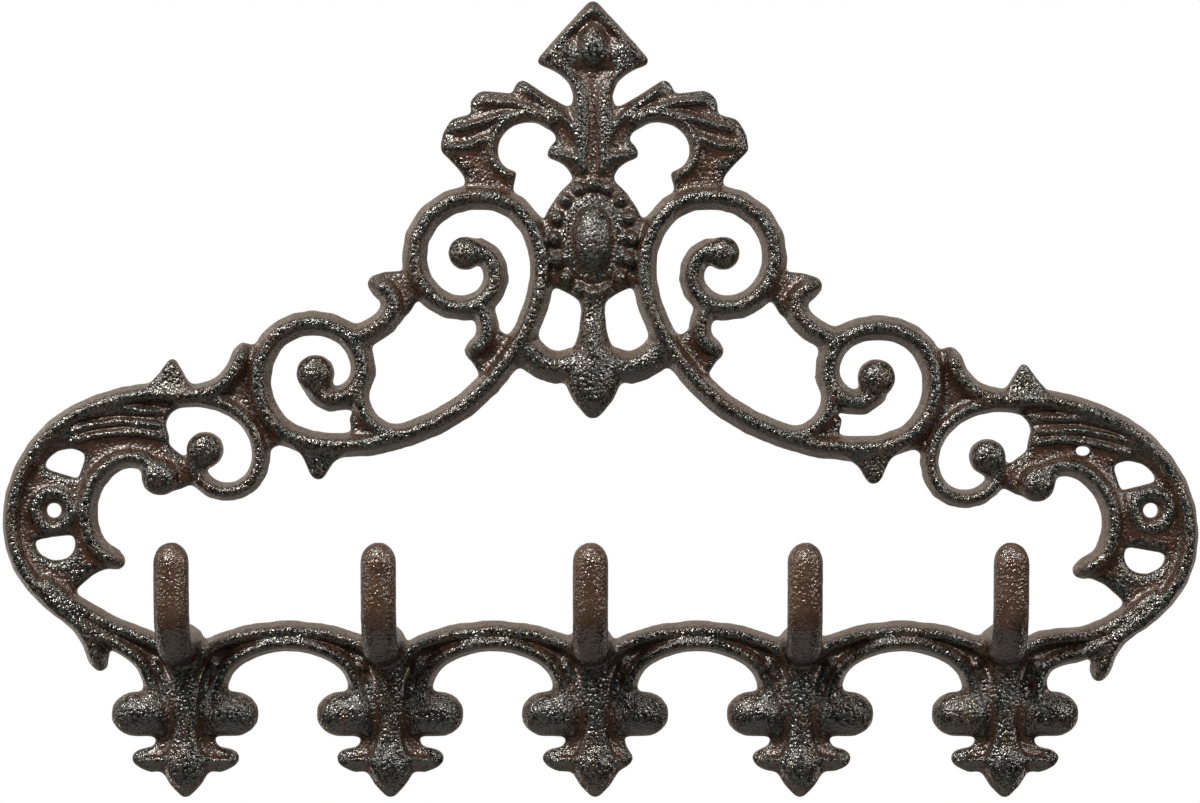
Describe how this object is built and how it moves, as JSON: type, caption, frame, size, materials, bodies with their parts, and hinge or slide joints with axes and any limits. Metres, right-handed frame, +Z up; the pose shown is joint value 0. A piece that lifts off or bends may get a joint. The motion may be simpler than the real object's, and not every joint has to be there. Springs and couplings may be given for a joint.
{
  "type": "coat hook rack",
  "caption": "Ornate cast-iron wall rack of pierced scrollwork with a beaded medallion and leaf crest, with a row of upturned round hooks for hanging coats.",
  "frame": {"origin": "on the wall plane at the back of the casting, half-way between the two wall screws", "axes": "+X along the rack to the right as seen from the front, +Z up, +Y into the wall, so the hooks stand out along -Y"},
  "size_m": [0.321, 0.0378, 0.2131],
  "materials": {
    "iron": "dark aged finish, rubbed bright on the high parts"
  },
  "bodies": {
    "root": {"coat_hook_rack": "iron"}
  },
  "joints": []
}
